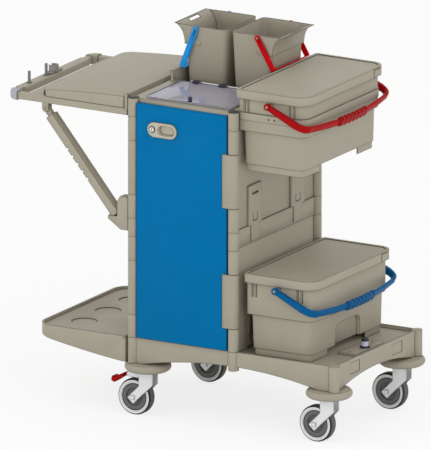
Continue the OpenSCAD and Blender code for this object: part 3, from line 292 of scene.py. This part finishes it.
tread = add(tree, "Mix", {0: shoulder_line.outputs[0], 6: linear("#646464"), 7: linear("#2A2A2A")}, data_type="RGBA")
mixed = add(tree, "Mix", {0: wall.outputs[0], 6: tread.outputs[2], 7: linear("#E3E3E3")}, data_type="RGBA")
body = add(tree, "VectorMath", {0: mixed.outputs[2], "Scale": tone.outputs[0]}, operation="SCALE")
# A dark line painted on each edge, and painted shade in the joints
line_and_shade = edge_line_and_shade(tree, 1.6, crease_mm=5)
lined_and_shaded = add(tree, "Mix", {0: line_and_shade, 6: body.outputs[0], 7: linear("#2A2A2A")}, data_type="RGBA")
bump = add(tree, "Bump", {"Height": scuff.outputs["Fac"], "Strength": 0.12, "Distance": 0.0005})
skin = add(tree, "BsdfPrincipled", {"Base Color": lined_and_shaded.outputs[2], "Roughness": 0.75, "IOR": 1.52,
                                    "Specular IOR Level": 0.2, "Normal": bump.outputs[0]})
add(tree, "OutputMaterial", {"Surface": skin.outputs[0]})
dress(rubber, *["tyre_" + k for k in corners], radius_mm=0)

disc_plastic = moulded("soft_beige_bumper", "#A19B8B", "#403C31", rough=0.6)
dress(disc_plastic, "bumper_discs")

deep_red = moulded("deep_red_polypropylene", "#A00509", "#340003", rough=0.45, gloss=0.08, cloud_mm=80,
                   line_mm=3.0)
dress(deep_red, "brake_pedal")

# Fold tray
# A shallow beige moulding with three round recesses.
# It hangs on a steel rod along the left end of the base.
dress(polypropylene, "fold_tray")
dress(zinc, "hinge_rods", radius_mm=0.3)

# Posts
# Beige polypropylene sleeves stacked on each corner, plugged into the base.
# A dark cap snaps into the top of each.
dress(polypropylene, "post_fl", "post_fr", "post_rl", "post_rr", radius_mm=0.5)
dark_plastic = moulded("dark_grey_abs", "#3A3A38", "#161615", rough=0.45, cloud_mm=60, line_mm=1.2)
dress(dark_plastic, "post_caps", radius_mm=0.8)

# Walls, middle frame and top frame
# Beige panels slid between the posts, and the two bands that tie the posts together.
# The top band carries the small-item tub and the well of the two small buckets.
dress(polypropylene, "left_walls", "right_walls", "back_walls", "middle_frame", "top_frame")
dress(polypropylene, "wall_hook_plates", radius_mm=0.8)


def screw(name, place, facing, radius_mm, material, body):
    """A pan-head screw with a cross recess, its head seated at place."""
    shape = bmesh.new()
    turn = Vector((0, 0, 1)).rotation_difference(Vector(facing)).to_matrix()
    rings = []
    steps = 48
    ring_count = 10
    for i in range(ring_count + 1):
        r = radius_mm * i / ring_count
        ring = []
        for k in range(steps):
            angle = 2 * math.pi * k / steps
            x, y = r * math.cos(angle), r * math.sin(angle)
            z = 0.55 * radius_mm * math.sqrt(1 - 0.96 * (i / ring_count) ** 2.6)
            if min(abs(x), abs(y)) < 0.15 * radius_mm and r < 0.65 * radius_mm:
                z -= 0.3 * radius_mm
            ring.append(shape.verts.new(Vector(place) + turn @ (Vector((x, y, z)) / 1000)))
        rings.append(ring)
    # The rim goes straight down to the seat
    rings.append([shape.verts.new(v.co - turn @ Vector((0, 0, 0.15 * radius_mm / 1000))) for v in rings[-1]])
    for low, high in zip(rings, rings[1:]):
        for k in range(steps):
            after = (k + 1) % steps
            shape.faces.new((low[k], high[k], high[after], low[after])).smooth = True
    bmesh.ops.remove_doubles(shape, verts=shape.verts, dist=0.000001)
    mesh = bpy.data.meshes.new(name)
    shape.to_mesh(mesh)
    shape.free()
    mesh.materials.append(material)
    piece = bpy.data.objects.new(name, mesh)
    bpy.context.scene.collection.objects.link(piece)
    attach(piece, body)


# The lower plates are screwed to the wall, 20 and 118 mm above their foot; the heads sit 4.5 mm off the wall
plates_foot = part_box("wall_hook_plates")[0][2]
head_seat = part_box("right_walls")[1][0] + 0.0045
for side, y in (("front", -0.142), ("rear", 0.142)):
    for row, z in (("low", 0.020), ("high", 0.118)):
        screw("plate_screw_%s_%s" % (side, row), (head_seat, y, plates_foot + z), (1, 0, 0), 6.5, zinc,
              "cart")

# Door
# A blue moulded panel on two beige knuckles, which turn on the front right post.
# An oval plate, snapped into it, holds the key lock and the finger pull.
blue_plastic = moulded("blue_polypropylene", "#006DA5", "#02324D", rough=0.45, gloss=0.04)
dress(blue_plastic, "door_panel")
dress(polypropylene, "door_hinges", radius_mm=0.5)
trim_plastic = moulded("light_beige_abs", "#B9B4A4", "#4A463C", rough=0.42)
dress(trim_plastic, "door_escutcheon", radius_mm=0.8)
dress(zinc, "lock_barrel", radius_mm=0.4)
lock = joint_place["lock_turn"]
plate_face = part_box("door_escutcheon")[0][1]
lock_profile = [(9.3, -1), (9.3, 0.9), (10.2, 1.3), (11.4, 1.1), (12, 0.3), (12, -1)]
turned("lock_ring", lock_profile, (lock[0], plate_face, lock[2]), (0, -1, 0), dark_plastic, "door")

# Clear lid
# A smoked polycarbonate pane over the tub, with a dark latch knob screwed to it.
# Three dark clips along its back edge wrap the hinge.
polycarbonate, tree = blank("smoked_polycarbonate")
place = add(tree, "TexCoord").outputs["Object"]
haze = add(tree, "TexNoise", {"Vector": place, "Scale": 1000 / 35, "Detail": 3.0})
shine = add(tree, "MapRange", {"Value": haze.outputs["Fac"], 1: 0.3, 2: 0.7, 3: 0.08, 4: 0.16})
# The edges are painted dark, for the way a clear moulding looks dark along its edges where the eye looks down
# into the sheet, and painted shade lies in the joints
line_and_shade = edge_line_and_shade(tree, 5.0, crease_mm=2, depth=0.95)
mixed = add(tree, "Mix", {0: line_and_shade, 6: linear("#C6C3CF"), 7: linear("#2C2A3E")}, data_type="RGBA")
skin = add(tree, "BsdfPrincipled", {"Base Color": mixed.outputs[2], "Roughness": shine.outputs[0],
                                    "IOR": 1.58, "Transmission Weight": 0.45})
add(tree, "OutputMaterial", {"Surface": skin.outputs[0]})
dress(polycarbonate, "clear_lid", radius_mm=0.6)
navy_plastic = moulded("navy_acetal", "#34334A", "#121119", rough=0.4, cloud_mm=40, line_mm=1.0)
dress(navy_plastic, "clear_lid_knob", radius_mm=0.6)
hinge = joint_place["clear_lid_open"]
# A clip wraps each knuckle and reaches 15 mm over the pane: its outline across the hinge, 22 mm long
wrap = [(-15, -3.2), (-15.6, -2.6), (-15.6, 4.4), (-15, 5), (-5, 5.4)]
wrap += [(6.4 * math.cos(math.radians(a)), 6.4 * math.sin(math.radians(a))) for a in range(115, -176, -15)]
wrap += [(-6.4, -3.2)]
for n, offset in enumerate((-101, 0, 101)):
    shape = bmesh.new()
    ends = [[shape.verts.new((hinge[0] + (offset + x) / 1000, hinge[1] + y / 1000, hinge[2] + z / 1000))
             for y, z in wrap] for x in (-11, 11)]
    for k in range(len(wrap)):
        after = (k + 1) % len(wrap)
        shape.faces.new((ends[0][k], ends[0][after], ends[1][after], ends[1][k]))
    for end in ends:
        shape.faces.new(end)
    bmesh.ops.recalc_face_normals(shape, faces=shape.faces)
    mesh = bpy.data.meshes.new("lid_hinge_clip_%d" % n)
    shape.to_mesh(mesh)
    shape.free()
    mesh.materials.append(navy_plastic)
    clip = bpy.data.objects.new("lid_hinge_clip_%d" % n, mesh)
    bpy.context.scene.collection.objects.link(clip)
    soft = clip.modifiers.new("mould_radius", "BEVEL")
    soft.width = 0.0008
    soft.segments = 2
    soft.limit_method = "ANGLE"
    soft.angle_limit = math.radians(40)
    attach(clip, "clear_lid")

# Small buckets
# Two beige pails with pouring lips that face outwards, hung in the well of the top frame.
# Each has a coloured flat strap as its bail.
dress(polypropylene, "small_bucket_blue", "small_bucket_red", radius_mm=0.7)
light_blue = moulded("light_blue_polypropylene", "#0A96E6", "#033A5B", rough=0.4, gloss=0.25, cloud_mm=60,
                     line_mm=1.4)
dress(light_blue, "small_bail_blue", radius_mm=0.8)
light_red = moulded("light_red_polypropylene", "#CB000B", "#520005", rough=0.45, gloss=0.08, cloud_mm=80,
                    line_mm=1.4)
dress(light_red, "small_bail_red", radius_mm=0.8)

# Large buckets
# Two beige buckets with lids. The upper one hangs in a ring on the top frame, the lower one stands on the
# deck. Each has a stout bail with a ridged grip, which turns on pins that stand out from the flange.
dress(polypropylene, "holder_ring", "upper_bucket", "upper_lid", "lower_bucket", "lower_lid")
dark_blue = moulded("dark_blue_polypropylene", "#00578C", "#011B2B", rough=0.45, gloss=0.08, cloud_mm=60,
                    line_mm=3.0)
dress(deep_red, "upper_bail", radius_mm=1.5)
dress(dark_blue, "lower_bail", radius_mm=1.5)

# Deck lock
# A beige plate screwed to the deck, with a spring plunger that pins the lower bucket.
# The plunger's knob is black, with a pale sleeve round its middle.
dress(polypropylene, "lock_plate", radius_mm=0.8)
plunger, tree = blank("banded_plunger_abs")
height = add(tree, "SeparateXYZ", {0: add(tree, "TexCoord").outputs["Object"]})
knob_mm = 31.0
knob_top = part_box("lock_knob")[1][2]
up = add(tree, "MapRange", {"Value": height.outputs["Z"], 1: knob_top - knob_mm / 1000, 2: knob_top, 3: 0.0,
                            4: knob_mm})
over = add(tree, "MapRange", {"Value": up.outputs[0], 1: 5.4, 2: 5.8, 3: 0.0, 4: 1.0})
under = add(tree, "MapRange", {"Value": up.outputs[0], 1: 21.8, 2: 22.2, 3: 1.0, 4: 0.0})
sleeve = add(tree, "Math", {0: over.outputs[0], 1: under.outputs[0]}, operation="MULTIPLY")
mixed = add(tree, "Mix", {0: sleeve.outputs[0], 6: linear("#17171C"), 7: linear("#C9C9E2")},
            data_type="RGBA")
spot = add(tree, "TexCoord").outputs["Object"]
grain = add(tree, "TexNoise", {"Vector": spot, "Scale": 1000 / 2, "Detail": 2.0})
bump = add(tree, "Bump", {"Height": grain.outputs["Fac"], "Strength": 0.08, "Distance": 0.0003})
skin = add(tree, "BsdfPrincipled", {"Base Color": mixed.outputs[2], "Roughness": 0.4, "IOR": 1.5,
                                    "Normal": bump.outputs[0]})
add(tree, "OutputMaterial", {"Surface": skin.outputs[0]})
dress(plunger, "lock_knob", radius_mm=0.6)
# Its two screws sit 33 mm in from the plate's end, with their seats 3 mm below its highest face
plate_low, plate_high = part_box("lock_plate")
screw_x = plate_low[0] + 0.033
screw_seat = plate_high[2] - 0.003
for side, y in (("front", -0.075), ("rear", 0.075)):
    screw("deck_screw_" + side, (screw_x, y, screw_seat), (0, 0, 1), 3.8, zinc, "cart")

# Bag frame
# A push bar and two rails that carry the bag, with bumper sleeves on the corners and a bowed lid.
# Two struts prop it from seats on the left posts; a clip and two pins on the bar hold tools.
dress(polypropylene, "bag_rails", "bag_crossbar", "bag_lid", "frame_brackets")
dress(polypropylene, "strut_front", "strut_rear")
clip_nylon = moulded("grey_nylon_clip", "#8F8E89", "#1E1E1C", rough=0.45, cloud_mm=30, line_mm=2.4)
dress(clip_nylon, "tool_clip", radius_mm=0.8)


def part_of(material, axis, start, end, colour):
    """Turns a moulding to a second colour past a place on one axis, as an insert or a second shot does."""
    tree = material.node_tree
    skin = next(node for node in tree.nodes if node.type == "BSDF_PRINCIPLED")
    first = skin.inputs["Base Color"].links[0].from_socket
    place = add(tree, "SeparateXYZ", {0: add(tree, "TexCoord").outputs["Object"]})
    past = add(tree, "MapRange", {"Value": place.outputs[axis], 1: start, 2: end, 3: 0.0, 4: 1.0})
    mixed = add(tree, "Mix", {0: past.outputs[0], 6: first, 7: linear(colour)}, data_type="RGBA")
    tree.links.new(mixed.outputs[2], skin.inputs["Base Color"])


# The pins are grey acetal inserts in the bar; they start 4 mm above it, over their collars.
# The bar's top lies 54 mm above the foot of the rails
bar_plastic = moulded("push_bar_polypropylene", "#A39D8D", "#403C31")
rails_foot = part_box("bag_rails")[0][2]
bar_top = rails_foot + 0.054
part_of(bar_plastic, "Z", bar_top + 0.004, bar_top + 0.0045, "#7D7C82")
dress(bar_plastic, "push_bar")

# The front sleeve is a blue-grey elastomer, the rear one the frame's own beige
bumper_rubber = moulded("blue_grey_elastomer", "#A9AAB3", "#3C3C44", rough=0.65, cloud_mm=50)
part_of(bumper_rubber, "Y", -0.001, 0.001, "#A39D8D")
dress(bumper_rubber, "corner_bumpers", radius_mm=0)

# Floor
# A pale matt studio floor that runs on as the backdrop.
# Seen from the camera it is nearly white, and the cart's shadow lies on it.
floor_mesh = bpy.data.meshes.new("floor")
sides = bmesh.new()
floor_reach = 60
bmesh.ops.create_grid(sides, x_segments=1, y_segments=1, size=floor_reach)
sides.to_mesh(floor_mesh)
sides.free()
floor = bpy.data.objects.new("floor", floor_mesh)
bpy.context.scene.collection.objects.link(floor)
paper, tree = blank("pale_studio_floor")
ray = add(tree, "LightPath")
seen = add(tree, "Math", {0: ray.outputs["Is Camera Ray"], 1: ray.outputs["Is Glossy Ray"]},
           operation="MAXIMUM")
seen = add(tree, "Math", {0: seen.outputs[0], 1: ray.outputs["Is Transmission Ray"]}, operation="MAXIMUM")
share = add(tree, "Math", {0: seen.outputs[0], 1: 0.78}, operation="MULTIPLY")
matt = add(tree, "BsdfDiffuse", {"Color": linear("#F4F4F2"), "Roughness": 0.5})
white = add(tree, "Emission", {"Color": (1.0, 1.0, 1.0, 1.0), "Strength": 1.0})
both = add(tree, "MixShader", {0: share.outputs[0], 1: matt.outputs[0], 2: white.outputs[0]})
add(tree, "OutputMaterial", {"Surface": both.outputs[0]})
floor_mesh.materials.append(paper)

# Light
# A broad soft lamp over the viewer's left shoulder, one on the right, and an even white surround.
# Together they light a face at about the level at which its colour is written.
world = bpy.data.worlds.new("studio")
bpy.context.scene.world = world
world.use_nodes = True
tree = world.node_tree
tree.nodes.clear()
ray = add(tree, "LightPath")
seen = add(tree, "Math", {0: ray.outputs["Is Camera Ray"], 1: ray.outputs["Is Glossy Ray"]},
           operation="MAXIMUM")
seen = add(tree, "Math", {0: seen.outputs[0], 1: ray.outputs["Is Transmission Ray"]}, operation="MAXIMUM")
strength = add(tree, "MapRange", {"Value": seen.outputs[0], 3: 0.92, 4: 1.0})
surround = add(tree, "Background", {"Color": (1.0, 1.0, 1.0, 1.0), "Strength": strength.outputs[0]})
add(tree, "OutputWorld", {"Surface": surround.outputs[0]})

# Each lamp has its place, its side in metres and its power in watts, and looks at the cart's middle
lamps = (("key_lamp", (-2.6, -4.0, 2.4), 2.6, 26), ("fill_lamp", (4.0, -3.2, 1.6), 2.4, 34))
cart_middle = Vector((0, 0, 0.6))
for name, spot, size, power in lamps:
    lamp = bpy.data.objects.new(name, bpy.data.lights.new(name, "AREA"))
    lamp.data.size = size
    lamp.data.energy = power
    lamp.location = spot
    lamp.rotation_euler = (cart_middle - Vector(spot)).to_track_quat("-Z", "Y").to_euler()
    bpy.context.scene.collection.objects.link(lamp)

# Camera
# A parallel view from 30 degrees right of the door and 15 degrees above the floor.
# The picture is 1.5 m tall.
camera = bpy.data.objects.new("camera", bpy.data.cameras.new("camera"))
bpy.context.scene.collection.objects.link(camera)
bpy.context.scene.camera = camera
camera.data.type = "ORTHO"
camera.data.ortho_scale = 1.5
camera.data.clip_end = 200
right, up = math.radians(30), math.radians(15)
back = Vector((math.sin(right) * math.cos(up), -math.cos(right) * math.cos(up), math.sin(up)))
picture_middle = Vector((-0.0047, 0, 0.617))
distance = 8
camera.location = picture_middle + back * distance
camera.rotation_euler = (-back).to_track_quat("-Z", "Y").to_euler()
bpy.context.scene.view_settings.view_transform = "Standard"
